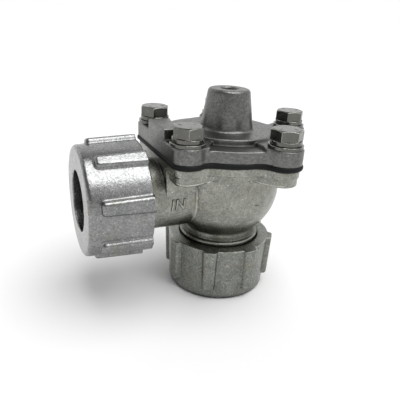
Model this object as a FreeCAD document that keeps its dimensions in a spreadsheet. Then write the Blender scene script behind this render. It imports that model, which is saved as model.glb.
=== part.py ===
"""Right-angle pulse valve with two compression nuts for 26.9 mm pipe.

Millimetres.  The origin is the centre of the outlet nut's end face, on which the valve
stands.  +Z goes up the outlet axis to the pilot port, and -X goes out of the inlet.
"""
import FreeCAD, Part
import Sketcher
import math
import os

doc = FreeCAD.newDocument("pulse_valve")

# Driving dimensions
DIMENSIONS = [
    ("axis_height", 53.7, "inlet axis above the outlet nut's end face"),
    ("inlet_reach", 74.5, "outlet axis to the inlet nut's end face"),
    ("pipe_bore", 27.3, "socket bore for the 26.9 mm pipe"),
    ("flow_bore", 24.0, "bore behind the pipe stop and through the seat"),
    ("arm_radius", 17.4, "outer radius of the inlet arm"),
    ("bowl_radius", 29.0, "outer radius of the round bowl"),
    ("bowl_rise", 2.6, "centre of the bowl above the inlet axis"),
    ("casting_wall", 3.3, "wall of the bowl"),
    ("neck_radius", 18.9, "neck between the bowl and the outlet thread"),
    ("thread_radius", 20.9, "outer radius of the two threaded spigots"),
    ("spigot_setback", 11.6, "spigot's end behind the nut's end face"),
    ("spigot_length", 18.6, "length of a threaded spigot"),
    ("pipe_stop", 24.0, "depth of the pipe socket from the spigot's end"),
    ("mouth_depth", 5.4, "depth of the cone that takes the seal ring"),
    ("mouth_radius", 18.6, "radius of that cone at the spigot's end"),
    ("seat_radius", 15.4, "outer radius of the seat tube"),
    ("web_draft", 8.0, "draft in degrees of the web over the inlet arm"),
    ("flange_rise", 16.6, "underside of the body's flange above the inlet axis"),
    ("flange_thickness", 3.9, "thickness of the body's flange"),
    ("body_waist", 34.4, "radius of the body's flange between its ears"),
    ("body_ear", 7.7, "radius of the body's ears"),
    ("body_side", 37.2, "outlet axis to the flat side of the body's flange"),
    ("boss_radius", 7.2, "radius of the bosses under the body's ears"),
    ("boss_drop", 3.7, "height of the bosses under the body's ears"),
    ("boss_blend", 1.0, "hollow blend between a boss and the bowl"),
    ("bowl_blend", 2.8, "hollow blend between the arm and the bowl"),
    ("neck_blend", 1.8, "hollow blend between the bowl and the neck"),
    ("bolt_circle", 37.3, "radius of the bolt circle"),
    ("bolt_radius", 4.0, "nominal radius of the M8 bolts"),
    ("bolt_clearance", 0.4, "radial clearance of the holes in cover and diaphragm"),
    ("thread_play", 0.05, "radial play of a plain cylinder that stands for a thread"),
    ("ear_blend", 7.0, "hollow blend between an ear and the waist"),
    ("rubber_thickness", 2.4, "thickness of the diaphragm's clamped rim"),
    ("centre_drop", 0.8, "how far the diaphragm's centre hangs below its rim"),
    ("rubber_proud", 0.5, "how far the rim stands out past the cover"),
    ("membrane_thickness", 1.4, "thickness of the rolled part of the diaphragm"),
    ("chamber_radius", 24.6, "inner radius of the clamped rim and of the cover's chamber"),
    ("chamber_height", 4.6, "height of the cover's chamber above the diaphragm's rim"),
    ("cover_thickness", 5.5, "thickness of the cover's flange"),
    ("cover_waist", 34.8, "radius of the cover's flange between its ears"),
    ("cover_ear", 8.5, "radius of the cover's ears"),
    ("cover_side", 38.0, "outlet axis to the flat side of the cover"),
    ("pad_radius", 10.0, "radius of the raised pads under the washers"),
    ("spot_radius", 8.3, "radius of the spot faces on the pads"),
    ("cast_round", 0.6, "rounding along the castings' edges"),
    ("web_round", 3.0, "hollow corner between a pad and its web"),
    ("pad_rise", 1.6, "height of the pads above the cover's flange"),
    ("plateau_radius", 25.0, "radius of the raised middle of the cover"),
    ("plateau_rise", 2.8, "height of the raised middle above the flange"),
    ("block_width", 9.8, "width of the block on the cover's flat side"),
    ("block_near", 12.4, "reach of that block towards -Y"),
    ("block_far", 8.4, "reach of that block towards +Y"),
    ("block_rise", 6.6, "height of that block above the flange"),
    ("tower_base", 13.2, "radius of the pilot tower at its foot"),
    ("tower_top", 10.2, "radius of the pilot tower at its top"),
    ("tower_height", 19.2, "height of the pilot tower above the raised middle"),
    ("tower_round", 1.8, "rounding of the tower's top edge"),
    ("foot_round", 1.5, "fillet at the tower's foot"),
    ("port_radius", 4.43, "tapping radius of the G1/8 pilot port"),
    ("port_depth", 10.0, "depth of the pilot port"),
    ("port_chamfer", 0.5, "chamfer at the port's mouth"),
    ("passage_radius", 2.5, "passage from the port to the spring pocket"),
    ("pocket_radius", 8.6, "radius of the spring pocket"),
    ("pocket_height", 11.0, "height of the spring pocket above the chamber"),
    ("head_flats", 13.0, "M8 bolt head across flats"),
    ("head_height", 5.0, "M8 bolt head height"),
    ("bolt_length", 20.0, "M8 bolt length under the head"),
    ("washer_radius", 8.0, "outer radius of the flat washers"),
    ("washer_bore", 4.2, "bore radius of the flat and spring washers"),
    ("washer_thickness", 1.6, "thickness of the flat washers"),
    ("spring_washer_radius", 7.1, "outer radius of the spring washers"),
    ("spring_washer_thickness", 2.0, "thickness of the spring washers"),
    ("spring_washer_gap", 0.9, "width of the cut through a spring washer"),
    ("nut_length", 28.3, "length of a compression nut"),
    ("nut_front_radius", 25.9, "nut's outer radius at its end face"),
    ("nut_back_radius", 27.0, "nut's outer radius at its back face"),
    ("nut_hole", 14.6, "radius of the hole in a nut's end face"),
    ("nut_lip", 5.0, "thickness of the nut's end wall"),
    ("nut_play", 0.06, "radial running clearance of a nut on its spigot"),
    ("nut_round", 1.8, "rounding of the nut's front edge"),
    ("nut_mouth", 0.6, "chamfer at the nut's threaded mouth"),
    ("rib_tip", 29.2, "radius over the ribs at the back face"),
    ("rib_foot", 9.4, "width of a rib where it meets the nut"),
    ("rib_crest", 6.4, "width of a rib at its crest"),
    ("rib_round", 1.6, "rounding along a rib's crest"),
    ("rib_corner", 1.8, "rounding of a rib's front corners"),
    ("foot_blend", 0.8, "hollow blend where a rib meets the nut"),
    ("rib_setback", 5.4, "end face to the front end of the ribs"),
    ("rib_draft", 2.0, "draft of the ribs in degrees"),
    ("gland_thickness", 1.5, "thickness of a thrust washer"),
    ("gland_radius", 20.4, "outer radius of a thrust washer"),
    ("gland_bore", 14.0, "bore radius of a thrust washer"),
    ("gland_gap", 0.1, "gap between a thrust washer and the nut's end wall"),
    ("seal_gap", 0.3, "clearance round a seal ring"),
    ("seal_radius", 19.2, "outer radius of a seal ring"),
    ("seal_bore", 13.75, "bore radius of a seal ring before it is squeezed"),
    ("seal_band", 3.6, "straight part of a seal ring before its cone"),
    ("plate_radius", 16.5, "radius of the plate above the diaphragm"),
    ("plate_thickness", 1.5, "thickness of that plate"),
    ("seat_disc_radius", 15.0, "radius of the rubber seat disc"),
    ("seat_disc_thickness", 3.0, "thickness of the rubber seat disc"),
    ("seat_gap", 0.3, "gap between the seat disc and the seat rim"),
    ("bleed_radius", 0.8, "bleed hole through the diaphragm"),
    ("keeper_radius", 8.5, "radius of the washer under the seat disc"),
    ("keeper_thickness", 1.5, "thickness of that washer"),
    ("screw_radius", 3.0, "radius of the M6 centre screw"),
    ("screw_head_radius", 5.0, "radius of the centre screw's head"),
    ("screw_head_height", 3.0, "height of the centre screw's head"),
    ("hub_nut_flats", 10.0, "M6 nut across flats"),
    ("hub_nut_height", 5.0, "M6 nut height"),
    ("screw_tail", 1.2, "end of the centre screw past its nut"),
    ("spring_radius", 7.0, "mean radius of the return spring"),
    ("spring_wire", 0.55, "radius of the spring's wire"),
    ("spring_gap", 0.3, "gap at each end of the return spring"),
    ("overshoot", 1.0, "how far a cutter runs past the face it opens"),
]
RIB_COUNT = 8
BOLT_COUNT = 5
FIRST_BOLT = 0.0
OUTLET_RIB_ANGLE = 10.5
INLET_RIB_ANGLE = 32.0
SPRING_TURNS = 5
HEAD_BEVEL = 22.0
PAD_SECTOR = 26.0
SPLIT_LEAN = 25.0
BOSS_SPREAD = 20.0

sheet = doc.addObject("Spreadsheet::Sheet", "Sizes")
for row, (alias, value, meaning) in enumerate(DIMENSIONS, start=1):
    sheet.set(f"A{row}", meaning)
    sheet.set(f"B{row}", str(value))
    sheet.setAlias(f"B{row}", alias)
doc.recompute()


class Size:
    """A number together with the spreadsheet expression that gives it."""

    def __init__(self, value, text):
        self.value = value
        self.text = text

    def joined(self, other, value, sign):
        return Size(value, f"({self.text} {sign} {other.text})")

    def __add__(self, other):
        other = as_size(other)
        return self.joined(other, self.value + other.value, "+")

    def __sub__(self, other):
        other = as_size(other)
        return self.joined(other, self.value - other.value, "-")

    def __mul__(self, other):
        other = as_size(other)
        return self.joined(other, self.value * other.value, "*")

    def __truediv__(self, other):
        other = as_size(other)
        return self.joined(other, self.value / other.value, "/")

    def __neg__(self):
        return as_size(0.0) - self

    def __rsub__(self, other):
        return as_size(other) - self

    __radd__ = __add__
    __rmul__ = __mul__


def as_size(number):
    """Plain numbers become sizes of their own."""
    if isinstance(number, Size):
        return number
    return Size(float(number), f"({float(number)!r})")


class Sizes:
    """The cells of the sheet, read as sizes."""

    def __getattr__(self, alias):
        return Size(float(doc.Sizes.get(alias)), f"Sizes.{alias}")


s = Sizes()


def bind(thing, path, size):
    """Give a property its value through an expression."""
    thing.setExpression(path, as_size(size).text)


def place(thing, x=0.0, y=0.0, z=0.0):
    """Move an object, its place bound to the sheet."""
    for axis, size in (("x", x), ("y", y), ("z", z)):
        if as_size(size).value or isinstance(size, Size):
            bind(thing, f"Placement.Base.{axis}", size)
    return thing


def turned(thing, axis, degrees):
    """Turn an object about one of its own axes."""
    thing.Placement.Rotation = FreeCAD.Rotation(FreeCAD.Vector(*axis), degrees)
    return thing


def cylinder(name, radius, height, x=0.0, y=0.0, z=0.0):
    thing = doc.addObject("Part::Cylinder", name)
    bind(thing, "Radius", radius)
    bind(thing, "Height", height)
    return place(thing, x, y, z)


def cone(name, low_radius, high_radius, height, z=0.0):
    thing = doc.addObject("Part::Cone", name)
    bind(thing, "Radius1", low_radius)
    bind(thing, "Radius2", high_radius)
    bind(thing, "Height", height)
    return place(thing, z=z)


def box(name, size_x, size_y, size_z, x=0.0, y=0.0, z=0.0):
    thing = doc.addObject("Part::Box", name)
    bind(thing, "Length", size_x)
    bind(thing, "Width", size_y)
    bind(thing, "Height", size_z)
    return place(thing, x, y, z)


def sphere(name, radius, z):
    thing = doc.addObject("Part::Sphere", name)
    bind(thing, "Radius", radius)
    return place(thing, z=z)


def fuse(name, things):
    thing = doc.addObject("Part::MultiFuse", name)
    thing.Shapes = things
    thing.Refine = True
    return thing


def cut(name, base, tool):
    thing = doc.addObject("Part::Cut", name)
    thing.Base = base
    thing.Tool = tool
    thing.Refine = True
    return thing


def common(name, base, tool):
    thing = doc.addObject("Part::Common", name)
    thing.Base = base
    thing.Tool = tool
    return thing


def rounded(name, base, radius, chosen):
    """Fillet the edges of base that the test chooses."""
    doc.recompute()
    numbers = [n for n, edge in enumerate(base.Shape.Edges, start=1) if chosen(edge)]
    thing = doc.addObject("Part::Fillet", name)
    thing.Base = base
    thing.Edges = [(n, radius.value, radius.value) for n in numbers]
    return thing


def is_level(edge, height):
    """The whole edge lies at one height."""
    bounds = edge.BoundBox
    return abs(bounds.ZMin - height) < 0.01 and abs(bounds.ZMax - height) < 0.01


def is_circle(edge, radius, height):
    return is_level(edge, height) and hasattr(edge.Curve, "Radius") and abs(edge.Curve.Radius - radius) < 0.01


def is_upright(edge):
    """A straight edge along Z."""
    bounds = edge.BoundBox
    return bounds.XLength < 0.001 and bounds.YLength < 0.001


def origin_plane(body, role):
    return [feature for feature in body.Origin.OriginFeatures if feature.Role == role][0]


def new_body(name):
    body = doc.addObject("PartDesign::Body", name)
    body.Label = name
    return body


def sketch_on(body, name, role, height=None):
    sketch = body.newObject("Sketcher::SketchObject", name)
    sketch.AttachmentSupport = [(origin_plane(body, role), "")]
    sketch.MapMode = "FlatFace"
    if height is not None:
        bind(sketch, "AttachmentOffset.Base.z", height)
    return sketch


def polygon(sketch, corners):
    """A closed outline with every corner tied to the sheet."""
    Line, Point = Part.LineSegment, FreeCAD.Vector
    values = [(as_size(x).value, as_size(y).value) for x, y in corners]
    count = len(corners)
    for i in range(count):
        start, end = values[i], values[(i + 1) % count]
        sketch.addGeometry(Line(Point(*start, 0), Point(*end, 0)), False)
    for i in range(count):
        sketch.addConstraint(Sketcher.Constraint("Coincident", i, 2, (i + 1) % count, 1))
    for i, (x, y) in enumerate(corners):
        for kind, size, axis in (("DistanceX", x, -2), ("DistanceY", y, -1)):
            if not isinstance(size, Size) and float(size) == 0.0:
                sketch.addConstraint(Sketcher.Constraint("PointOnObject", i, 1, axis))
                continue
            number = sketch.addConstraint(Sketcher.Constraint(kind, i, 1, as_size(size).value))
            bind(sketch, f"Constraints[{number}]", size)
    return sketch


def circle(sketch, radius, x=0.0):
    """A circle centred on the sketch's own X axis."""
    centre = FreeCAD.Vector(as_size(x).value, 0, 0)
    sketch.addGeometry(Part.Circle(centre, FreeCAD.Vector(0, 0, 1), as_size(radius).value), False)
    number = sketch.addConstraint(Sketcher.Constraint("Radius", 0, as_size(radius).value))
    bind(sketch, f"Constraints[{number}]", radius)
    sketch.addConstraint(Sketcher.Constraint("PointOnObject", 0, 3, -1))
    if isinstance(x, Size):
        number = sketch.addConstraint(Sketcher.Constraint("DistanceX", 0, 3, x.value))
        bind(sketch, f"Constraints[{number}]", x)
    else:
        sketch.addConstraint(Sketcher.Constraint("PointOnObject", 0, 3, -2))
    return sketch


def revolve(body, sketch, name):
    feature = body.newObject("PartDesign::Revolution", name)
    feature.Profile = sketch
    feature.ReferenceAxis = (sketch, ["V_Axis"])
    feature.Angle = 360.0
    body.Tip = feature
    return feature


def pad(body, sketch, name, length):
    feature = body.newObject("PartDesign::Pad", name)
    feature.Profile = sketch
    bind(feature, "Length", length)
    body.Tip = feature
    return feature


def turned_part(name, corners):
    """A body made by turning one half section about Z."""
    body = new_body(name)
    sketch = polygon(sketch_on(body, f"{name}_section", "XZ_Plane"), corners)
    revolve(body, sketch, f"{name}_turned")
    return body


def bolt_angles():
    return [FIRST_BOLT + 360.0 / BOLT_COUNT * i for i in range(BOLT_COUNT)]


def at_bolts(name, make):
    """The objects that make(name, x, y, angle) gives at each bolt."""
    things = []
    for number, angle in enumerate(bolt_angles(), start=1):
        x = s.bolt_circle * math.cos(math.radians(angle))
        y = s.bolt_circle * math.sin(math.radians(angle))
        things.append(make(f"{name}_{number}", x, y, angle))
    return things


# Heights of the faces that the pieces meet at
flange_low = s.axis_height + s.flange_rise
body_top = flange_low + s.flange_thickness
cover_low = body_top + s.rubber_thickness
flange_top = cover_low + s.cover_thickness
pad_top = flange_top + s.pad_rise
plateau_top = flange_top + s.plateau_rise
tower_end = plateau_top + s.tower_height
chamber_top = cover_low + s.chamber_height
pocket_top = chamber_top + s.pocket_height
centre_top = body_top - s.centre_drop
centre_low = centre_top - s.rubber_thickness
seat_top = centre_low - s.seat_disc_thickness - s.seat_gap
bowl_centre = s.axis_height + s.bowl_rise


def flange_plate(name, waist, ear, side, low, thickness):
    """A round plate with an ear at each bolt and one flat side over the inlet."""
    disc = cylinder(f"{name}_disc", waist, thickness, z=low)
    ears = at_bolts(f"{name}_ear", lambda label, x, y, angle: cylinder(label, ear, thickness, x, y, low))
    half = s.bolt_circle * math.sin(math.radians(180.0 / BOLT_COUNT))
    filling = box(f"{name}_filling", side, half * 2, thickness, -side, -half, low)
    plate = fuse(f"{name}_plate", [disc, filling] + ears)
    depth = s.bolt_circle + ear
    waste = box(f"{name}_waste", depth, depth * 4, thickness, -side - depth, -depth * 2, low)
    flat = cut(f"{name}_flat", plate, waste)

    def in_a_waist(edge):
        if not is_upright(edge):
            return False
        point = edge.Vertexes[0].Point
        on_disc = abs(math.hypot(point.x, point.y) - waist.value) < 0.01
        return on_disc and point.x > 0.01 - side.value

    return rounded(f"{name}_outline", flat, s.ear_blend, in_a_waist)


def bolt_holes(name, radius, low, height):
    return at_bolts(name, lambda label, x, y, angle: cylinder(label, radius, height, x, y, low))


def make_valve_body():
    """The cast body: bowl, inlet arm, two threaded spigots, ears and the inner seat tube."""
    reach = s.inlet_reach - s.spigot_setback
    outlet_end = s.spigot_setback
    outlet_thread = cylinder("outlet_thread", s.thread_radius, s.spigot_length, z=outlet_end)
    neck = cylinder("outlet_neck", s.neck_radius, bowl_centre - outlet_end, z=outlet_end)
    bowl = sphere("bowl", s.bowl_radius, bowl_centre)
    bowl_wall = cylinder("bowl_wall", s.bowl_radius, body_top - bowl_centre, z=bowl_centre)
    bowl_blank = box("bowl_blank", s.bowl_radius * 2, s.bowl_radius * 2, s.bowl_radius,
                     -s.bowl_radius, -s.bowl_radius, bowl_centre - s.bowl_radius)
    bowl_low = common("bowl_low", bowl, bowl_blank)
    arm = turned(cylinder("arm", s.arm_radius, reach, -reach, 0.0, s.axis_height), (0, 1, 0), 90)
    inlet_thread = turned(cylinder("inlet_thread", s.thread_radius, s.spigot_length,
                                   -reach, 0.0, s.axis_height), (0, 1, 0), 90)
    plate = flange_plate("body_flange", s.body_waist, s.body_ear, s.body_side, flange_low,
                         s.flange_thickness)
    plate = rounded("body_flange_rounded", plate, s.cast_round, lambda edge: is_level(edge, flange_low.value))

    slope = math.radians(s.web_draft.value)
    web = new_body("arm_web")
    web_top = s.flange_rise + s.flange_thickness / 2
    wide_half = s.arm_radius * math.cos(slope)
    wide_height = s.arm_radius * math.sin(slope)
    slim_half = s.arm_radius / math.cos(slope) - web_top * math.tan(slope)
    section = sketch_on(web, "arm_web_section", "YZ_Plane", -s.body_side)
    polygon(section, [(-wide_half, wide_height), (wide_half, wide_height),
                      (slim_half, web_top), (-slim_half, web_top)])
    pad(web, section, "arm_web_pad", s.body_side)
    place(web, z=s.axis_height)

    boss_low = flange_low - s.boss_drop
    boss_height = s.boss_drop + s.flange_thickness / 2

    def boss(label, x, y, angle):
        """A post under the ear, with two bars that spread towards the bowl."""
        things = [cylinder(f"{label}_post", s.boss_radius, boss_height, x, y, boss_low)]
        for side, spread in (("left", BOSS_SPREAD), ("right", -BOSS_SPREAD)):
            heading = angle + 180.0 + spread
            bar = box(f"{label}_{side}", s.bolt_circle - s.bowl_radius * 0.7, s.boss_radius * 2, boss_height)
            turned(bar, (0, 0, 1), heading)
            turn = math.radians(heading)
            place(bar, x + s.boss_radius * math.sin(turn), y - s.boss_radius * math.cos(turn), boss_low)
            things.append(bar)
        return fuse(label, things)

    depth = s.bolt_circle + s.body_ear
    trim = box("boss_trim", depth, depth * 4, boss_height, s.body_ear - s.boss_radius - s.body_side - depth,
               -depth * 2, boss_low)
    bosses = cut("ear_bosses", fuse("boss_blanks", at_bolts("ear_boss", boss)), trim)
    bosses = rounded("ear_bosses_rounded", bosses, s.cast_round, lambda edge: is_level(edge, boss_low.value))
    solid = fuse("casting", [outlet_thread, neck, bowl_low, bowl_wall, arm, inlet_thread, plate, web, bosses])

    def on_the_bowl(edge):
        """Every tested point of the edge lies on the bowl's outer surface."""
        span = edge.LastParameter - edge.FirstParameter
        for step in range(5):
            point = edge.valueAt(edge.FirstParameter + span * step / 4)
            depth = min(0.0, point.z - bowl_centre.value)
            if abs(math.hypot(point.x, point.y, depth) - s.bowl_radius.value) > 0.05:
                return False
        return True

    def round_the_arm(edge):
        bounds = edge.BoundBox
        at_the_arm = bounds.XMax < -s.arm_radius.value and bounds.ZLength > s.boss_drop.value + 0.01
        return at_the_arm and on_the_bowl(edge)

    def beside_a_boss(edge):
        return is_upright(edge) and on_the_bowl(edge) and edge.BoundBox.ZMin > boss_low.value - 0.01

    neck_top = bowl_centre.value - math.sqrt(s.bowl_radius.value ** 2 - s.neck_radius.value ** 2)
    solid = rounded("casting_arm_blend", solid, s.bowl_blend, round_the_arm)
    solid = rounded("casting_neck_blend", solid, s.neck_blend,
                    lambda edge: is_circle(edge, s.neck_radius.value, neck_top))
    solid = rounded("casting_boss_blend", solid, s.boss_blend, beside_a_boss)

    inner = s.bowl_radius - s.casting_wall
    chamber_ball = sphere("chamber_ball", inner, bowl_centre)
    chamber_wall = cylinder("chamber_wall", inner, body_top - bowl_centre, z=bowl_centre)
    seat_tube = cylinder("seat_tube", s.seat_radius, seat_top - outlet_end, z=outlet_end)
    chamber = fuse("chamber", [chamber_ball, chamber_wall])
    ring = cut("chamber_ring", chamber, seat_tube)
    outlet_flow = cylinder("outlet_flow", s.flow_bore / 2, s.axis_height * 2, z=outlet_end)
    outlet_socket = cylinder("outlet_socket", s.pipe_bore / 2, s.pipe_stop, z=outlet_end)
    outlet_mouth = cone("outlet_mouth", s.mouth_radius, s.pipe_bore / 2, s.mouth_depth, z=outlet_end)
    inlet_flow = turned(cylinder("inlet_flow", s.flow_bore / 2, reach - s.seat_radius,
                                 -reach, 0.0, s.axis_height), (0, 1, 0), 90)
    inlet_socket = turned(cylinder("inlet_socket", s.pipe_bore / 2, s.pipe_stop,
                                   -reach, 0.0, s.axis_height), (0, 1, 0), 90)
    inlet_mouth = turned(cone("inlet_mouth", s.mouth_radius, s.pipe_bore / 2, s.mouth_depth),
                         (0, 1, 0), 90)
    place(inlet_mouth, -reach, 0.0, s.axis_height)
    tapped = bolt_holes("body_hole", s.bolt_radius + s.thread_play, flange_low - s.boss_drop - s.overshoot,
                        s.boss_drop + s.flange_thickness + s.overshoot * 2)
    inside = fuse("body_inside", [ring, outlet_flow, outlet_socket, outlet_mouth, inlet_flow,
                                  inlet_socket, inlet_mouth] + tapped)
    return cut("valve_body", solid, inside)


def make_cover():
    """The cast cover: flange with pads, raised middle, side block and the pilot tower."""
    def outline(name, height):
        return flange_plate(name, s.cover_waist, s.cover_ear, s.cover_side, cover_low, height)

    plate = rounded("cover_flange_rounded", outline("cover_flange", s.cover_thickness), s.cast_round,
                    lambda edge: is_level(edge, flange_top.value))
    pad_height = s.cover_thickness + s.pad_rise
    blanks = at_bolts("cover_pad", lambda label, x, y, angle: cylinder(
        label, s.pad_radius, pad_height, x, y, cover_low))

    def pad_web(label, x, y, angle):
        """A sector that joins a pad to the raised middle."""
        web = turned(cylinder(label, s.bolt_circle, pad_height, z=cover_low), (0, 0, 1), angle - PAD_SECTOR / 2)
        web.Angle = PAD_SECTOR
        return web

    blanks += at_bolts("pad_web", pad_web)
    half = s.bolt_circle * math.sin(math.radians(180.0 / BOLT_COUNT))
    blanks.append(box("side_strip", s.block_width, half * 2, pad_height, -s.cover_side, -half, cover_low))
    pads = common("cover_pads", outline("pad_outline", pad_height), fuse("pad_blanks", blanks))
    pads = cut("cover_pads_open", pads,
               cylinder("pad_middle", s.plateau_radius - s.web_round, pad_height, z=cover_low))

    def in_a_pad_corner(edge):
        """An upright edge between a pad and its web."""
        if not is_upright(edge):
            return False
        point = edge.Vertexes[0].Point
        centre = math.hypot(point.x, point.y)
        for angle in bolt_angles():
            x = point.x - s.bolt_circle.value * math.cos(math.radians(angle))
            y = point.y - s.bolt_circle.value * math.sin(math.radians(angle))
            on_pad = abs(math.hypot(x, y) - s.pad_radius.value) < 0.01
            if on_pad and centre < s.bolt_circle.value - s.pad_radius.value / 2:
                return True
        return False

    pads = rounded("cover_pads_blended", pads, s.web_round, in_a_pad_corner)
    pads = rounded("cover_pads_rounded", pads, s.cast_round, lambda edge: is_level(edge, pad_top.value))
    middle = cylinder("plateau", s.plateau_radius, s.cover_thickness + s.plateau_rise, z=cover_low)
    middle = rounded("plateau_rounded", middle, s.cast_round,
                     lambda edge: is_circle(edge, s.plateau_radius.value, plateau_top.value))
    block = box("side_block", s.block_width, s.block_near + s.block_far, s.cover_thickness + s.block_rise,
                -s.cover_side, -s.block_near, cover_low)
    block_top = flange_top + s.block_rise
    block = rounded("side_block_rounded", block, s.cast_round, lambda edge: is_level(edge, block_top.value)
                    or (is_upright(edge) and edge.Vertexes[0].Point.x > -s.cover_side.value + 0.01))
    tower = cone("tower", s.tower_base, s.tower_top, s.tower_height, z=plateau_top)
    tower = rounded("tower_rounded", tower, s.tower_round,
                    lambda edge: is_circle(edge, s.tower_top.value, tower_end.value))
    solid = fuse("cover_casting", [plate, pads, middle, block, tower])
    faces = at_bolts("spot_face", lambda label, x, y, angle: cylinder(
        label, s.spot_radius, s.tower_height, x, y, pad_top))
    solid = cut("cover_faced", solid, fuse("spot_faces", faces))
    solid = rounded("cover_footed", solid, s.foot_round,
                    lambda edge: is_circle(edge, s.tower_base.value, plateau_top.value))

    chamber = cylinder("cover_chamber", s.chamber_radius, s.chamber_height, z=cover_low)
    pocket = cylinder("spring_pocket", s.pocket_radius, s.pocket_height, z=chamber_top)
    passage = cylinder("pilot_passage", s.passage_radius, tower_end - pocket_top, z=pocket_top)
    port = cylinder("pilot_port", s.port_radius, s.port_depth, z=tower_end - s.port_depth)
    chamfer = cone("port_mouth", s.port_radius, s.port_radius + s.port_chamfer, s.port_chamfer,
                   z=tower_end - s.port_chamfer)
    holes = bolt_holes("cover_hole", s.bolt_radius + s.bolt_clearance, cover_low - s.overshoot,
                       s.cover_thickness + s.block_rise + s.overshoot * 2)
    inside = fuse("cover_inside", [chamber, pocket, passage, port, chamfer] + holes)
    return cut("cover", solid, inside)


def make_diaphragm():
    """Moulded rubber: a clamped rim to the cover's outline, a roll and a flat centre."""
    plate = flange_plate("rubber_rim", s.cover_waist + s.rubber_proud, s.cover_ear + s.rubber_proud,
                         s.cover_side + s.rubber_proud, body_top, s.rubber_thickness)
    edge_round = s.rubber_thickness * 0.4
    rim = rounded("rubber_edge", plate, edge_round, lambda edge: is_level(edge, body_top.value)
                  or is_level(edge, cover_low.value))
    opening = cylinder("rubber_opening", s.chamber_radius, s.rubber_thickness, z=body_top)
    holes = bolt_holes("rubber_hole", s.bolt_radius + s.bolt_clearance, body_top, s.rubber_thickness)
    ring = cut("rubber_ring", rim, fuse("rubber_openings", [opening] + holes))
    bore = s.screw_radius + s.thread_play
    edge = s.chamber_radius + s.rubber_proud
    skin = s.membrane_thickness
    roll = turned_part("rubber_roll", [
        (bore, centre_low), (s.plate_radius, centre_low),
        (s.plate_radius + skin * 1.5, cover_low - skin), (s.chamber_radius - skin, cover_low - skin),
        (s.chamber_radius - skin * 0.5, body_top), (edge, body_top), (edge, cover_low),
        (s.plate_radius + skin * 0.7, cover_low), (s.plate_radius + s.seal_gap, centre_top), (bore, centre_top)])
    bleed = cylinder("bleed_hole", s.bleed_radius, cover_low - centre_low + s.overshoot,
                     (s.plate_radius + s.chamber_radius + skin) / 2, 0.0, centre_low)
    return cut("diaphragm", fuse("rubber_moulding", [ring, roll]), bleed)


def washer(name, outer, bore, low, thickness):
    return turned_part(name, [(bore, low), (outer, low), (outer, low + thickness), (bore, low + thickness)])


def hexagon_prism(name, flats, height, z):
    thing = doc.addObject("Part::Prism", name)
    thing.Polygon = 6
    bind(thing, "Circumradius", flats / 2 / math.cos(math.radians(30)))
    bind(thing, "Height", height)
    return place(thing, z=z)


def make_bolts():
    """Five M8 hexagon bolts, each turned to a slightly different angle as tightened."""
    head_low = pad_top + s.washer_thickness + s.spring_washer_thickness
    turns = [-12.0, 5.0, 6.0, 10.5, -22.5]

    def bolt(label, x, y, angle):
        head = hexagon_prism(f"{label}_hexagon", s.head_flats, s.head_height, 0.0)
        corner = s.head_flats / 2 / math.cos(math.radians(30))
        bevel = (corner - s.head_flats * 0.475) * math.tan(math.radians(HEAD_BEVEL))
        turning = turned_part(f"{label}_turning", [
            (0.0, 0.0), (corner, 0.0), (corner, s.head_height - bevel),
            (s.head_flats * 0.475, s.head_height), (0.0, s.head_height)])
        head = common(f"{label}_head", head, turning)
        shank = cylinder(f"{label}_shank", s.bolt_radius, s.bolt_length, z=-s.bolt_length)
        whole = fuse(label, [head, shank])
        turned(whole, (0, 0, 1), turns[int(label.rsplit("_", 1)[1]) - 1])
        return place(whole, x, y, head_low)

    return compound("cover_bolts", at_bolts("bolt", bolt))


def make_washers():
    def flat(label, x, y, angle):
        thing = washer(label, s.washer_radius, s.washer_bore, 0.0, s.washer_thickness)
        return place(thing, x, y, pad_top)

    def split(label, x, y, angle):
        ring = washer(f"{label}_ring", s.spring_washer_radius, s.washer_bore, 0.0,
                      s.spring_washer_thickness)
        gap = box(f"{label}_gap", s.spring_washer_radius * 2, s.spring_washer_gap,
                  s.spring_washer_thickness * 3, 0.0, 0.0, -s.spring_washer_thickness)
        turned(gap, (1, 0, 0), SPLIT_LEAN)
        thing = cut(label, ring, gap)
        turned(thing, (0, 0, 1), angle * 3 + 40)
        return place(thing, x, y, pad_top + s.washer_thickness)

    return [compound("flat_washers", at_bolts("flat_washer", flat)),
            compound("spring_washers", at_bolts("spring_washer", split))]


def compound(name, things):
    thing = doc.addObject("Part::Compound", name)
    thing.Links = things
    return thing


def edge_names(feature, chosen):
    doc.recompute()
    return [f"Edge{n}" for n, edge in enumerate(feature.Shape.Edges, start=1) if chosen(edge)]


def soften(body, name, feature, radius, chosen):
    """A PartDesign fillet on the chosen edges of the body's last feature."""
    fillet = body.newObject("PartDesign::Fillet", name)
    fillet.Base = (feature, edge_names(feature, chosen))
    bind(fillet, "Radius", radius)
    body.Tip = fillet
    return fillet


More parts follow.
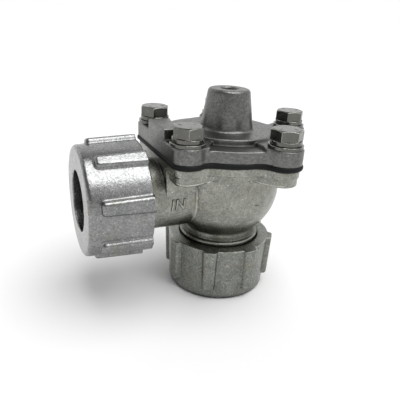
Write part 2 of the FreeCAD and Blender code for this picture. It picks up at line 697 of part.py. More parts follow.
def make_nut(name):
    """A cast compression nut with ribs, its end face at z = 0 and its thread at the back."""
    body = new_body(name)
    bore = s.thread_radius + s.nut_play
    section = sketch_on(body, f"{name}_section", "XZ_Plane")
    polygon(section, [
        (s.nut_hole, 0.0), (s.nut_front_radius, 0.0), (s.nut_back_radius, s.nut_length),
        (bore + s.nut_mouth, s.nut_length), (bore, s.nut_length - s.nut_mouth), (bore, s.nut_lip),
        (s.nut_hole, s.nut_lip)])
    shell = revolve(body, section, f"{name}_turned")
    rim = soften(body, f"{name}_rim", shell, s.nut_round,
                 lambda edge: is_circle(edge, s.nut_front_radius.value, 0.0))
    rib_section = sketch_on(body, f"{name}_rib_section", "XY_Plane", s.nut_length)
    inner = s.nut_front_radius - s.nut_round
    foot = s.rib_foot / 2
    crest = s.rib_crest / 2
    polygon(rib_section, [(inner, -foot), (s.rib_tip, -crest), (s.rib_tip, crest), (inner, foot)])
    rib = pad(body, rib_section, f"{name}_rib", s.nut_length - s.rib_setback)
    rib.Reversed = True
    bind(rib, "TaperAngle", -s.rib_draft)
    doc.recompute()
    pattern = body.newObject("PartDesign::PolarPattern", f"{name}_ribs")
    pattern.Originals = [rib]
    pattern.Axis = (section, ["V_Axis"])
    pattern.Angle = 360.0
    pattern.Occurrences = RIB_COUNT
    body.Tip = pattern
    front = s.rib_setback.value

    def reach_of(edge):
        """The smallest and largest distance of the edge's ends from the nut's axis."""
        reaches = [math.hypot(vertex.X, vertex.Y) for vertex in edge.Vertexes]
        return min(reaches), max(reaches)

    def on_a_front_corner(edge):
        low, high = reach_of(edge)
        return is_level(edge, front) and high - low > s.rib_round.value

    corners = soften(body, f"{name}_corners", pattern, s.rib_corner, on_a_front_corner)

    def on_a_crest(edge):
        low, high = reach_of(edge)
        return low > s.nut_back_radius.value + s.rib_round.value / 2 and not is_level(edge, s.nut_length.value)

    crests = soften(body, f"{name}_crests", corners, s.rib_round, on_a_crest)

    def at_a_foot(edge):
        low, high = reach_of(edge)
        bounds = edge.BoundBox
        near_shell = low > s.nut_front_radius.value and high < s.nut_back_radius.value + s.foot_blend.value / 2
        return near_shell and front - s.foot_blend.value < bounds.ZMin < s.nut_length.value - 0.01

    soften(body, f"{name}_feet", crests, s.foot_blend, at_a_foot)
    return body


def make_outlet_nut():
    """The outlet nut stands on the ground plane, its ribs turned as tightened."""
    return turned(make_nut("outlet_nut"), (0, 0, 1), OUTLET_RIB_ANGLE)


def to_inlet(thing, spin=0.0):
    """Swing an object from the outlet axis to the same place on the inlet axis."""
    swing = FreeCAD.Rotation(FreeCAD.Vector(0, 1, 0), 90)
    thing.Placement.Rotation = swing.multiply(FreeCAD.Rotation(FreeCAD.Vector(0, 0, 1), spin))
    return place(thing, -s.inlet_reach, 0.0, s.axis_height)


def make_thrust_washer(name):
    low = s.nut_lip + s.gland_gap
    return washer(name, s.gland_radius, s.gland_bore, low, s.gland_thickness)


def make_seal_ring(name):
    """A rubber ring with a cone that the nut squeezes into the spigot's mouth."""
    low = s.nut_lip + s.gland_gap + s.gland_thickness
    nose_drop = s.mouth_depth - s.seal_gap * 2
    spread = (s.mouth_radius - s.pipe_bore / 2) / s.mouth_depth
    cone_start = s.mouth_radius - s.seal_gap
    nose = cone_start - spread * nose_drop + s.seal_gap
    return turned_part(name, [
        (s.seal_bore, low), (s.seal_radius, low), (s.seal_radius, low + s.seal_band),
        (cone_start, s.spigot_setback), (nose, s.spigot_setback + nose_drop - s.seal_gap),
        (s.seal_bore, s.spigot_setback + nose_drop - s.seal_gap)])


def make_centre_screw():
    """Flat round head under the seat disc, shank up through the whole stack."""
    head_top = centre_low - s.seat_disc_thickness - s.keeper_thickness
    head_low = head_top - s.screw_head_height
    tail = centre_top + s.plate_thickness + s.hub_nut_height + s.screw_tail
    return turned_part("centre_screw", [
        (0.0, head_low), (s.screw_head_radius, head_low), (s.screw_head_radius, head_top),
        (s.screw_radius, head_top), (s.screw_radius, tail), (0.0, tail)])


def make_hub_nut():
    low = centre_top + s.plate_thickness
    block = hexagon_prism("hub_nut_block", s.hub_nut_flats, s.hub_nut_height, low)
    hole = cylinder("hub_nut_hole", s.screw_radius + s.thread_play, s.hub_nut_height, z=low)
    return cut("hub_nut", block, hole)


def make_return_spring():
    """A compression spring between the plate and the roof of its pocket."""
    low = centre_top + s.plate_thickness + s.spring_gap + s.spring_wire
    body = new_body("return_spring")
    wire = circle(sketch_on(body, "spring_wire_section", "XZ_Plane"), s.spring_wire, s.spring_radius)
    coil = body.newObject("PartDesign::AdditiveHelix", "spring_coil")
    coil.Profile = wire
    coil.ReferenceAxis = (wire, ["V_Axis"])
    coil.Mode = "height-turns-angle"
    coil.Turns = SPRING_TURNS
    bind(coil, "Height", pocket_top - s.spring_gap - s.spring_wire - low)
    body.Tip = coil
    return place(body, z=low)


result = {}


def keep(name, thing):
    thing.Label = name
    result[name] = thing


keep("valve_body", make_valve_body())
keep("cover", make_cover())
keep("diaphragm", make_diaphragm())
keep("cover_bolts", make_bolts())
flat_washers, spring_washers = make_washers()
keep("flat_washers", flat_washers)
keep("spring_washers", spring_washers)
keep("upper_plate", washer("upper_plate", s.plate_radius, s.screw_radius + s.thread_play,
                            centre_top, s.plate_thickness))
keep("seat_disc", washer("seat_disc", s.seat_disc_radius, s.screw_radius + s.thread_play,
                          centre_low - s.seat_disc_thickness, s.seat_disc_thickness))
keep("seat_keeper", washer("seat_keeper", s.keeper_radius, s.screw_radius + s.thread_play,
                            centre_low - s.seat_disc_thickness - s.keeper_thickness, s.keeper_thickness))
keep("centre_screw", make_centre_screw())
keep("hub_nut", make_hub_nut())
keep("return_spring", make_return_spring())
keep("outlet_nut", make_outlet_nut())
keep("outlet_thrust_washer", make_thrust_washer("outlet_thrust_washer"))
keep("outlet_seal_ring", make_seal_ring("outlet_seal_ring"))
keep("inlet_nut", to_inlet(make_nut("inlet_nut"), INLET_RIB_ANGLE))
keep("inlet_thrust_washer", to_inlet(make_thrust_washer("inlet_thrust_washer")))
keep("inlet_seal_ring", to_inlet(make_seal_ring("inlet_seal_ring")))
doc.recompute()

for thing in doc.Objects:
    if "Invalid" in thing.State or "Error" in thing.State:
        raise RuntimeError(f"{thing.Name} failed: {thing.State}")
os.makedirs("parts", exist_ok=True)
for name, thing in result.items():
    shape = thing.Shape
    if shape.isNull() or not shape.isValid():
        raise RuntimeError(f"{name} has no valid shape")
    shape.exportStep(f"parts/{name}.step")
    print(name, len(shape.Solids), round(shape.Volume, 1))
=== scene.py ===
# %% [markdown]
# Right-angle pulse valve
#
# A pulse valve sits on the air tank of a dust collector. When its pilot port is opened, the rubber
# diaphragm under the cover jumps up and a short blast of air leaves through the outlet. This lesson
# dresses the valve for a photograph: the CAD solids already have the right shapes, so most of the
# work is in the finishes, the marks that the foundry left, and the light.

# %% The frame from the CAD model
import math

import bpy
from mathutils import Matrix, Vector
from mathutils.bvhtree import BVHTree


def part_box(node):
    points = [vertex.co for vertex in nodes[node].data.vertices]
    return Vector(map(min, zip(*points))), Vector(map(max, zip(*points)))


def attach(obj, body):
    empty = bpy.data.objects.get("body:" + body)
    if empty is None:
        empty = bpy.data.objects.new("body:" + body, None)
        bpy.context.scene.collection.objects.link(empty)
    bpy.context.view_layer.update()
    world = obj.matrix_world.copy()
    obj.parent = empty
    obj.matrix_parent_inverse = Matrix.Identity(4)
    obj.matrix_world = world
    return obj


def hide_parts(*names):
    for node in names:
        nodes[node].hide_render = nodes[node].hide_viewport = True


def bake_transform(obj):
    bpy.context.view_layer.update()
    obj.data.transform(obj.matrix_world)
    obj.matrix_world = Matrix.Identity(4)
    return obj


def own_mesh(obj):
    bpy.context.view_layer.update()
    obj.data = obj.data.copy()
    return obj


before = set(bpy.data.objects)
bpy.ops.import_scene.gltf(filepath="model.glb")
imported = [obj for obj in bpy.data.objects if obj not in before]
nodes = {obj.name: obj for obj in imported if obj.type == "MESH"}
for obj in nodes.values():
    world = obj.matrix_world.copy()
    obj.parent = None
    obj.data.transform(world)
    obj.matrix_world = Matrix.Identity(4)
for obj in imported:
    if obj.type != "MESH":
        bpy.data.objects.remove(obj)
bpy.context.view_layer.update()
print("CAD nodes:", sorted(nodes))

# %% [markdown]
# Every size here is read from the CAD nodes' boxes, or written in millimetres as the real valve would
# be drawn. Blender works in metres, so one name, MM, turns millimetres into metres.

# %% Sizes that the pieces share
MM = 0.001
INLET_AXIS = 53.7 * MM
ARM_RADIUS = 17.4 * MM
COVER_LOW, COVER_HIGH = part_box("cover")
print("cover from", COVER_LOW, "to", COVER_HIGH)

# %% [markdown]
# The camera comes first, because every finish is judged through it. The photograph was taken from
# close by, a little to the inlet's side and from above, with the camera tilted a few degrees. A
# direction, a distance and a roll angle say that more plainly than a location and three angles.

# %% Camera
AZIMUTH, ELEVATION, ROLL = math.radians(-25.57), math.radians(22.68), math.radians(3.51)
DISTANCE = 233.98 * MM
TARGET = Vector((-12.12, 0.0, 46.67)) * MM
FOCAL_LENGTH = 40.27

back = Vector((math.sin(AZIMUTH) * math.cos(ELEVATION),
               -math.cos(AZIMUTH) * math.cos(ELEVATION),
               math.sin(ELEVATION)))
level_right = (-back).cross(Vector((0, 0, 1))).normalized()
level_up = level_right.cross(-back)
right = math.cos(ROLL) * level_right + math.sin(ROLL) * level_up
up = math.cos(ROLL) * level_up - math.sin(ROLL) * level_right

camera_data = bpy.data.cameras.new("photo_camera")
camera_data.lens = FOCAL_LENGTH
camera_data.sensor_width = 36.0
camera_data.clip_start = 5 * MM
camera = bpy.data.objects.new("photo_camera", camera_data)
bpy.context.scene.collection.objects.link(camera)
camera_turn = Matrix((right, up, back)).transposed().to_4x4()
camera.matrix_world = Matrix.Translation(TARGET + back * DISTANCE) @ camera_turn
bpy.context.scene.camera = camera
print("camera at", tuple(round(v / MM, 1) for v in camera.location), "mm")

# %% [markdown]
# Colours are chosen as they look on a screen, in hexadecimal. Shaders add and multiply light, which
# needs linear numbers, so one function does the turning.

# %% Colour and node helpers


def linear(hex_colour):
    """An sRGB hex colour as linear red, green, blue and alpha."""
    channels = [int(hex_colour[i:i + 2], 16) / 255 for i in (1, 3, 5)]
    return tuple(c / 12.92 if c <= 0.04045 else ((c + 0.055) / 1.055) ** 2.4 for c in channels) + (1.0,)


def add_node(tree, kind, settings=None, inputs=None):
    """Adds one shader node: settings are its properties, inputs its sockets' values or feeding sockets."""
    node = tree.nodes.new("ShaderNode" + kind)
    for name, value in (settings or {}).items():
        setattr(node, name, value)
    for name, value in (inputs or {}).items():
        if isinstance(value, bpy.types.NodeSocket):
            tree.links.new(value, node.inputs[name])
        else:
            node.inputs[name].default_value = value
    return node


def new_material(name):
    """An empty node material with its output node, and the object coordinates that patterns use."""
    material = bpy.data.materials.new(name)
    material.use_nodes = True
    tree = material.node_tree
    tree.nodes.clear()
    output = add_node(tree, "OutputMaterial")
    place = add_node(tree, "TexCoord").outputs["Object"]
    return material, tree, output, place


def per_metre(size_in_mm):
    """The texture scale that gives a pattern features of this size."""
    return 1.0 / (size_in_mm * MM)


# %% [markdown]
# Die-cast aluminium
#
# The body, the cover and the nuts are aluminium castings. Molten metal leaves a skin with small pores
# and a mottled grey. Aluminium is a metal, so metallic is 1 and the colour is its reflection. The
# finish is built from the metal outwards, and the skin's colour comes first: a slow mottle of two
# greys, and stains where oil or water dried.

# %% Colour of a cast skin
MOTTLE_SIZE = 6.0
STAIN_SIZE = 14.0


def cast_skin(tree, place, dark, light, stain):
    """The skin's colour: a mottle between dark and light, with patches of stain."""
    mottle = add_node(tree, "TexNoise", None,
                      {"Vector": place, "Scale": per_metre(MOTTLE_SIZE), "Detail": 5.0, "Roughness": 0.7})
    mottle_share = add_node(tree, "MapRange", None,
                            {"Value": mottle.outputs["Fac"], "From Min": 0.35, "From Max": 0.65})
    skin = add_node(tree, "Mix", {"data_type": "RGBA"},
                    {0: mottle_share.outputs["Result"], 6: linear(dark), 7: linear(light)})
    stains = add_node(tree, "TexNoise", None,
                      {"Vector": place, "Scale": per_metre(STAIN_SIZE), "Detail": 5.0, "Roughness": 0.7,
                       "Distortion": 0.6})
    stain_share = add_node(tree, "MapRange", None,
                           {"Value": stains.outputs["Fac"], "From Min": 0.54, "From Max": 0.68,
                            "To Min": 0.0, "To Max": 0.75})
    stained = add_node(tree, "Mix", {"data_type": "RGBA"},
                       {0: stain_share.outputs["Result"], 6: skin.outputs[2], 7: linear(stain)})
    return stained.outputs[2]


print("mottle", MOTTLE_SIZE, "mm, stains", STAIN_SIZE, "mm")

# %% [markdown]
# Blasting with fine grit turns the skin into a sparkling grain, in which a few flat facets flash like
# specks. The specks are painted glints: a few chosen facets get a brighter colour. Real grit marks are
# near 0.3 mm across, too fine to show from here, so the grain and the specks are both drawn coarser
# than they are.

# %% Grain and specks
GRAIN_SIZE = 0.9
SPECK_SPACING = 0.8


def blasted_grain(tree, place, sparkle, glint_speck_share):
    """The grain's own height, and the gain that the grain and the painted glints of the specks give the
    colour.
    """
    grain = add_node(tree, "TexNoise", None,
                     {"Vector": place, "Scale": per_metre(GRAIN_SIZE), "Detail": 3.0, "Roughness": 0.7})
    grain_share = add_node(tree, "MapRange", None,
                           {"Value": grain.outputs["Fac"], "From Min": 0.32, "From Max": 0.68,
                            "To Min": 1.0 - sparkle, "To Max": 1.0 + sparkle})
    # The specks are painted glints: chosen facets get a brighter colour.
    facets = add_node(tree, "TexVoronoi", None, {"Vector": place, "Scale": per_metre(SPECK_SPACING)})
    facet_pick = add_node(tree, "SeparateColor", None, {"Color": facets.outputs["Color"]})
    picked = add_node(tree, "Math", {"operation": "LESS_THAN"}, {0: facet_pick.outputs[0], 1: glint_speck_share})
    painted_glint = add_node(tree, "MapRange", None,
                     {"Value": facets.outputs["Distance"], "From Min": 0.5, "From Max": 0.3,
                      "To Min": 0.0, "To Max": 0.6})
    gain = add_node(tree, "Math", {"operation": "MULTIPLY_ADD"},
                    {0: picked.outputs[0], 1: painted_glint.outputs["Result"], 2: grain_share.outputs["Result"]})
    return grain.outputs["Fac"], gain.outputs[0]


print("grain", GRAIN_SIZE, "mm, one speck every", SPECK_SPACING, "mm at most")

# %% [markdown]
# Handling polishes the edges bright, and dirt stays in the corners; both are also painted light, a
# highlight on the edges and shade in the corners. An edge is found by comparing the way the surface
# faces with the way that a rounded surface would face. The same rounded direction also softens the
# edge in the light, on castings and on steel alike.

# %% Finding an edge
CAST_ROUNDING = 1.2 * MM
STEEL_ROUNDING = 0.6 * MM


def rounded_facing(tree, radius):
    """The direction of a rounded surface, and how far it agrees with the surface's own: 1 on a flat."""
    softened = add_node(tree, "Bevel", {"samples": 8}, {"Radius": radius})
    flat = add_node(tree, "NewGeometry").outputs["Normal"]
    agreement = add_node(tree, "VectorMath", {"operation": "DOT_PRODUCT"},
                         {0: softened.outputs["Normal"], 1: flat})
    return softened.outputs["Normal"], agreement.outputs["Value"]


print("edges rounded by", CAST_ROUNDING / MM, "mm on castings,", STEEL_ROUNDING / MM, "mm on steel")

# %% [markdown]
# A corner is found by ambient occlusion, which asks how much of the surroundings a point can see
# within a reach. A short reach finds the corners, which are darkened both for the dirt that they hold
# and as painted shade. A long one finds deep recesses, such as the gap behind a nut, which are
# darkened all over as painted shade. The corner darkening wins over the edge brightening where the two
# meet.

# %% Wear and painted highlight, dirt and painted shade
RECESS_REACH = 14.0 * MM
EDGE_WEAR_AND_HIGHLIGHT_GAIN = 1.6


def wear_dirt_and_painted_light(tree, colour, agreement, corner_dirt_and_shade, dirt_and_shade_reach_mm, recess_shade):
    """The colour with edges brightened for wear and as painted highlight, corners darkened for dirt and as
    painted shade, and painted shade in its recesses.
    """
    # Edges brightened in colour for wear and as a painted highlight.
    edge_wear_and_highlight_share = add_node(tree, "MapRange", None,
                          {"Value": agreement, "From Min": 0.995, "From Max": 0.90,
                           "To Min": 0.0, "To Max": 1.0})
    # Corners darkened in colour for dirt and as painted shade.
    corners = add_node(tree, "AmbientOcclusion", {"samples": 8},
                       {"Distance": dirt_and_shade_reach_mm * MM})
    corner_share = add_node(tree, "MapRange", None,
                            {"Value": corners.outputs["AO"], "From Min": 0.35, "From Max": 0.93,
                             "To Min": 1.0, "To Max": 0.0})
    outer_share = add_node(tree, "Math", {"operation": "SUBTRACT", "use_clamp": True},
                           {0: edge_wear_and_highlight_share.outputs["Result"], 1: corner_share.outputs["Result"]})
    worn_and_highlit_colour = add_node(tree, "VectorMath", {"operation": "SCALE"}, {0: colour, "Scale": EDGE_WEAR_AND_HIGHLIGHT_GAIN})
    edged = add_node(tree, "Mix", {"data_type": "RGBA"},
                     {0: outer_share.outputs[0], 6: colour, 7: worn_and_highlit_colour.outputs[0]})
    cornered = add_node(tree, "Mix", {"data_type": "RGBA"},
                        {0: corner_share.outputs["Result"], 6: edged.outputs[2], 7: linear(corner_dirt_and_shade)})
    # Deep recesses darkened all over in colour as painted shade.
    recess = add_node(tree, "AmbientOcclusion", {"samples": 8}, {"Distance": RECESS_REACH})
    recess_light = add_node(tree, "MapRange", None,
                            {"Value": recess.outputs["AO"], "From Min": 0.10, "From Max": 0.34,
                             "To Min": recess_shade, "To Max": 1.0})
    shaded = add_node(tree, "VectorMath", {"operation": "SCALE"},
                      {0: cornered.outputs[2], "Scale": recess_light.outputs["Result"]})
    return shaded.outputs[0]


print("recesses reach", RECESS_REACH / MM, "mm")

# %% [markdown]
# Now the layers are put together. The blasted skin blurs what it reflects, with a roughness near a
# third, and the grain makes it a little rougher and smoother from place to place. The same grain
# stands up from the surface as a bump.

# %% A casting from its layers
ROUGHNESS_PLAY = 0.08


def cast_aluminium(name, dark, light, stain, corner_dirt_and_shade, dirt_and_shade_reach_mm, recess_shade, roughness,
                   grain_depth_mm, sparkle, glint_speck_share):
    """A blasted casting: its four colours, then how far dirt and painted shade reach, then its grain."""
    material, tree, output, place = new_material(name)
    skin = cast_skin(tree, place, dark, light, stain)
    grain, grain_gain = blasted_grain(tree, place, sparkle, glint_speck_share)
    grained = add_node(tree, "VectorMath", {"operation": "SCALE"}, {0: skin, "Scale": grain_gain})
    facing, agreement = rounded_facing(tree, CAST_ROUNDING)
    colour = wear_dirt_and_painted_light(tree, grained.outputs[0], agreement, corner_dirt_and_shade, dirt_and_shade_reach_mm, recess_shade)
    rough = add_node(tree, "MapRange", None,
                     {"Value": grain, "From Min": 0.3, "From Max": 0.7,
                      "To Min": roughness + ROUGHNESS_PLAY, "To Max": roughness - ROUGHNESS_PLAY})
    bump = add_node(tree, "Bump", None,
                    {"Strength": 1.0, "Distance": grain_depth_mm * MM, "Height": grain, "Normal": facing})
    shader = add_node(tree, "BsdfPrincipled", None,
                      {"Base Color": colour, "Metallic": 1.0,
                       "Roughness": rough.outputs["Result"], "Normal": bump.outputs["Normal"]})
    tree.links.new(shader.outputs["BSDF"], output.inputs["Surface"])
    return material


print("a casting's roughness plays by", ROUGHNESS_PLAY)

# %% [markdown]
# The castings differ in age and handling. The body has a warm grey with stains, and deep painted shade
# under its flange. The cover is darker and duller. The inlet's nut is bright and smooth from the
# blasting, and the outlet's nut, which stands on the bench, is greyer and is darkened more at the feet
# of its ribs, for dirt and as painted shade. Two more are for small marks: a dark one, partly dirt and
# partly painted shade, for the letters and a scratch, and a bright one, partly fresh metal and partly
# painted highlight, for seams, flash, nubs and nicks.

# %% The castings' finishes
body_casting = cast_aluminium("cast_aluminium_body", "#7e7f78", "#989891", "#787567", "#40403b",
                              dirt_and_shade_reach_mm=1.6, recess_shade=0.10, roughness=0.31,
                              grain_depth_mm=0.06, sparkle=0.24, glint_speck_share=0.03)
cover_casting = cast_aluminium("cast_aluminium_cover", "#666665", "#727270", "#646462", "#3a3a38",
                               dirt_and_shade_reach_mm=0.8, recess_shade=0.70, roughness=0.37,
                               grain_depth_mm=0.06, sparkle=0.30, glint_speck_share=0.03)
nut_casting = cast_aluminium("cast_aluminium_nut", "#7d7e7e", "#8f908f", "#7d7a70", "#3c3c3a",
                             dirt_and_shade_reach_mm=2.6, recess_shade=0.85, roughness=0.23,
                             grain_depth_mm=0.08, sparkle=0.30, glint_speck_share=0.08)
outlet_casting = cast_aluminium("cast_aluminium_outlet_nut", "#747671", "#868883", "#7a776c", "#3a3b38",
                                dirt_and_shade_reach_mm=4.0, recess_shade=1.00, roughness=0.30,
                                grain_depth_mm=0.09, sparkle=0.34, glint_speck_share=0.08)
# A dark finish for the letters' slopes and the scratch: dirt, and on the letters also painted shade.
dirt_and_shade_casting = cast_aluminium("dirt_and_shade_cast_aluminium", "#33322e", "#44433d", "#302f29", "#22211f",
                              dirt_and_shade_reach_mm=2.0, recess_shade=0.50, roughness=0.50,
                              grain_depth_mm=0.05, sparkle=0.10, glint_speck_share=0.0)
# A bright finish for fresh metal on nubs and nicks, and a painted highlight on the seam and the flash.
worn_and_highlight_casting = cast_aluminium("worn_and_highlight_cast_aluminium", "#a5a49d", "#bbbab3", "#97948a", "#84827a",
                              dirt_and_shade_reach_mm=0.3, recess_shade=0.60, roughness=0.34,
                              grain_depth_mm=0.04, sparkle=0.20, glint_speck_share=0.0)
print("castings:", [material.name for material in bpy.data.materials])

# %% [markdown]
# Nitrile rubber
#
# The diaphragm's rim shows as a thin black line between the castings. Moulded rubber isn't a metal;
# it is nearly black, with a soft sheen, and fine dust makes it a little lighter in places.

# %% Finish of the rubber


def moulded_rubber(name):
    """Black rubber with a fine moulded skin and a little dust."""
    material, tree, output, place = new_material(name)
    dust = add_node(tree, "TexNoise", None, {"Vector": place, "Scale": per_metre(4.0), "Detail": 5.0})
    colour = add_node(tree, "Mix", {"data_type": "RGBA"},
                      {0: dust.outputs["Fac"], 6: linear("#060607"), 7: linear("#121314")})
    skin = add_node(tree, "TexNoise", None, {"Vector": place, "Scale": per_metre(0.6), "Detail": 2.0})
    bump = add_node(tree, "Bump", None, {"Distance": 0.03 * MM, "Height": skin.outputs["Fac"]})
    shader = add_node(tree, "BsdfPrincipled", None,
                      {"Base Color": colour.outputs[2], "Roughness": 0.6, "IOR": 1.52,
                       "Specular IOR Level": 0.2, "Normal": bump.outputs["Normal"]})
    tree.links.new(shader.outputs["BSDF"], output.inputs["Surface"])
    return material


rubber = moulded_rubber("nitrile_rubber")
print("rubber:", rubber.name)

# %% [markdown]
# Stainless steel
#
# The bolts and washers are stainless steel, which keeps a warm, satin shine. Bolt heads are forged and
# then tumbled, so they have small dents rather than brush lines. Their edges are rubbed bright and also
# brightened as a painted highlight, a few small marks flash as painted glints, and the gaps between
# washers are darkened as painted shade. The steel plates inside are zinc plated: a little bluer and
# duller.

# %% Finish of the steel


def satin_steel(name, dark, light, roughness, dent_mm):
    """Tumbled steel with shallow dents, edges brightened for rubbing and as painted highlight, painted
    shade in the gaps and a few painted glints.
    """
    material, tree, output, place = new_material(name)
    stain = add_node(tree, "TexNoise", None, {"Vector": place, "Scale": per_metre(3.0), "Detail": 4.0})
    colour = add_node(tree, "Mix", {"data_type": "RGBA"},
                      {0: stain.outputs["Fac"], 6: linear(dark), 7: linear(light)})
    facing, agreement = rounded_facing(tree, STEEL_ROUNDING)
    # Edges brightened in colour for rubbing and as a painted highlight.
    rubbed_edge_and_highlight_gain = add_node(tree, "MapRange", None,
                         {"Value": agreement, "From Min": 0.995, "From Max": 0.93,
                          "To Min": 1.0, "To Max": 2.4})
    # Small marks brightened in colour as painted glints.
    marks = add_node(tree, "TexNoise", None, {"Vector": place, "Scale": per_metre(0.9), "Detail": 1.0})
    painted_glint_gain = add_node(tree, "MapRange", None,
                         {"Value": marks.outputs["Fac"], "From Min": 0.66, "From Max": 0.72,
                          "To Min": 1.0, "To Max": 1.8})
    # Gaps between parts darkened in colour as painted shade.
    gaps = add_node(tree, "AmbientOcclusion", {"samples": 8}, {"Distance": 1.0 * MM})
    gap_painted_shade = add_node(tree, "MapRange", None,
                        {"Value": gaps.outputs["AO"], "From Min": 0.3, "From Max": 0.8,
                         "To Min": 0.25, "To Max": 1.0})
    bright = add_node(tree, "Math", {"operation": "MULTIPLY"},
                      {0: rubbed_edge_and_highlight_gain.outputs["Result"], 1: painted_glint_gain.outputs["Result"]})
    gain = add_node(tree, "Math", {"operation": "MULTIPLY"},
                    {0: bright.outputs[0], 1: gap_painted_shade.outputs["Result"]})
    shaded = add_node(tree, "VectorMath", {"operation": "SCALE"},
                      {0: colour.outputs[2], "Scale": gain.outputs[0]})
    dents = add_node(tree, "TexNoise", None, {"Vector": place, "Scale": per_metre(dent_mm), "Detail": 2.0})
    rough = add_node(tree, "MapRange", None,
                     {"Value": dents.outputs["Fac"], "From Min": 0.3, "From Max": 0.7,
                      "To Min": roughness - 0.06, "To Max": roughness + 0.06})
    bump = add_node(tree, "Bump", None,
                    {"Distance": 0.02 * MM, "Height": dents.outputs["Fac"], "Normal": facing})
    shader = add_node(tree, "BsdfPrincipled", None,
                      {"Base Color": shaded.outputs[0], "Metallic": 1.0,
                       "Roughness": rough.outputs["Result"], "Normal": bump.outputs["Normal"]})
    tree.links.new(shader.outputs["BSDF"], output.inputs["Surface"])
    return material


stainless = satin_steel("stainless_steel", "#585855", "#6d6c68", 0.20, 2.5)
zinc_plate = satin_steel("zinc_plated_steel", "#a9adb0", "#c4c9cc", 0.38, 2.5)
print("steel:", stainless.name, zinc_plate.name)

# %% [markdown]
# Each CAD node now gets its finish. A node keeps its own mesh; only its material slots change.

# %% Finishes on the CAD nodes
FINISHES = {
    "valve_body": body_casting,
    "cover": cover_casting,
    "inlet_nut": nut_casting, "outlet_nut": outlet_casting,
    "seat_disc": rubber, "inlet_seal_ring": rubber, "outlet_seal_ring": rubber,
    "cover_bolts": stainless, "flat_washers": stainless, "spring_washers": stainless,
    "centre_screw": stainless, "hub_nut": stainless, "return_spring": stainless,
    "upper_plate": zinc_plate, "seat_keeper": zinc_plate,
    "inlet_thrust_washer": zinc_plate, "outlet_thrust_washer": zinc_plate,
    "diaphragm": rubber,
}


def dress(piece, material):
    """Gives a piece one material, in place of any that it had."""
    piece.data.materials.clear()
    piece.data.materials.append(material)


for name, material in FINISHES.items():
    dress(nodes[name], material)
print(len(FINISHES), "nodes have their finish")

# %% [markdown]
# Small pieces of the casting are added as meshes of their own: letters, screw threads, seams and
# scratches. Each rides on the body that carries it and has the finishes that it is given, and a piece
# of two finishes says for each face which one it has.

# %% A new piece from points and faces


def new_piece(name, points, faces, body, materials, shades=None):
    """A mesh that rides on a body. Where no shades are given it is smooth and has one material."""
    mesh = bpy.data.meshes.new(name)
    mesh.from_pydata(points, [], faces)
    for material in materials:
        mesh.materials.append(material)
    if shades:
        mesh.polygons.foreach_set("material_index", shades)
    else:
        mesh.polygons.foreach_set("use_smooth", [True] * len(faces))
    piece = bpy.data.objects.new(name, mesh)
    bpy.context.scene.collection.objects.link(piece)
    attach(piece, body)
    print(name, "has", len(faces), "faces")
    return piece

# %% [markdown]
# The diaphragm and the spring change shape when the valve opens: the diaphragm's rim stays clamped
# while its middle rises with the plates, and the spring gets shorter towards the roof of its pocket.
# Each gets a copy of its mesh in place of the CAD node: the diaphragm's copy is set in place, and the
# spring's copy rides on the valve with a mesh of its own.


def copy_of(node_name, piece_name, material):
    """A new object with its own copy of a CAD node's mesh, standing for that node."""
    piece = bpy.data.objects.new(piece_name, nodes[node_name].data.copy())
    bpy.context.scene.collection.objects.link(piece)
    dress(piece, material)
    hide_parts(node_name)
    return piece


diaphragm = copy_of("diaphragm", "moulded_diaphragm", rubber)
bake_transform(diaphragm)

spring = copy_of("return_spring", "coiled_spring", stainless)
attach(spring, "valve")
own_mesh(spring)

# %% [markdown]
# The letters IN
#
# Raised letters mark the inlet. They are part of the casting, with sloping sides so that the pattern
# can leave the mould, and the slopes carry a dark finish, partly the dirt that they hold and partly
# painted shade, which makes the letters readable. Each stroke is a low bar with a flat top. Its points
# are given along the arm and round it, then wrapped on the arm's cylinder, so the letters follow the
# curve as real ones do.

# %% A stroke on the arm
STROKE_HALF = 0.42 * MM
SLOPE = 0.34 * MM
LETTER_RAISED = 0.42 * MM
LETTER_SUNK = 0.12 * MM


def on_arm(along, around, height):
    """A point on the arm: its place along the axis, the arc from the front line, and its height."""
    turn = around / ARM_RADIUS
    reach = ARM_RADIUS + height
    return Vector((along, -reach * math.cos(turn), INLET_AXIS + reach * math.sin(turn)))


def add_stroke(points, faces, shades, start, end, raised):
    """One bar of a letter from start to end, with its slopes marked for the dark material of dirt and
    painted shade.
    """
    start, end = Vector(start) * MM, Vector(end) * MM
    ahead = (end - start).normalized()
    aside = Vector((-ahead.y, ahead.x))
    length = (end - start).length
    steps = 8
    stations = [-STROKE_HALF - SLOPE] + [-STROKE_HALF + (length + 2 * STROKE_HALF) * i / steps
                                         for i in range(steps + 1)] + [length + STROKE_HALF + SLOPE]
    offsets = [-STROKE_HALF - SLOPE, -STROKE_HALF, STROKE_HALF, STROKE_HALF + SLOPE]
    first = len(points)
    for row, station in enumerate(stations):
        for column, offset in enumerate(offsets):
            place = start + ahead * station + aside * offset
            low = row in (0, len(stations) - 1) or column in (0, 3)
            points.append(on_arm(place.x, place.y, -LETTER_SUNK if low else raised))
    for row in range(len(stations) - 1):
        for column in range(3):
            corner = first + row * 4 + column
            faces.append((corner, corner + 1, corner + 5, corner + 4))
            # The slopes take the dark finish: dirt, and painted shade.
            on_top = column == 1 and 0 < row < len(stations) - 2
            shades.append(0 if on_top else 1)


print("strokes are", round(2 * STROKE_HALF / MM, 2), "mm wide and", round(LETTER_RAISED / MM, 2), "mm high")

# %% [markdown]
# The I is one stroke and the N is three. Where strokes cross, each is a hair lower than the one
# before it, so that no two tops lie in the same place.

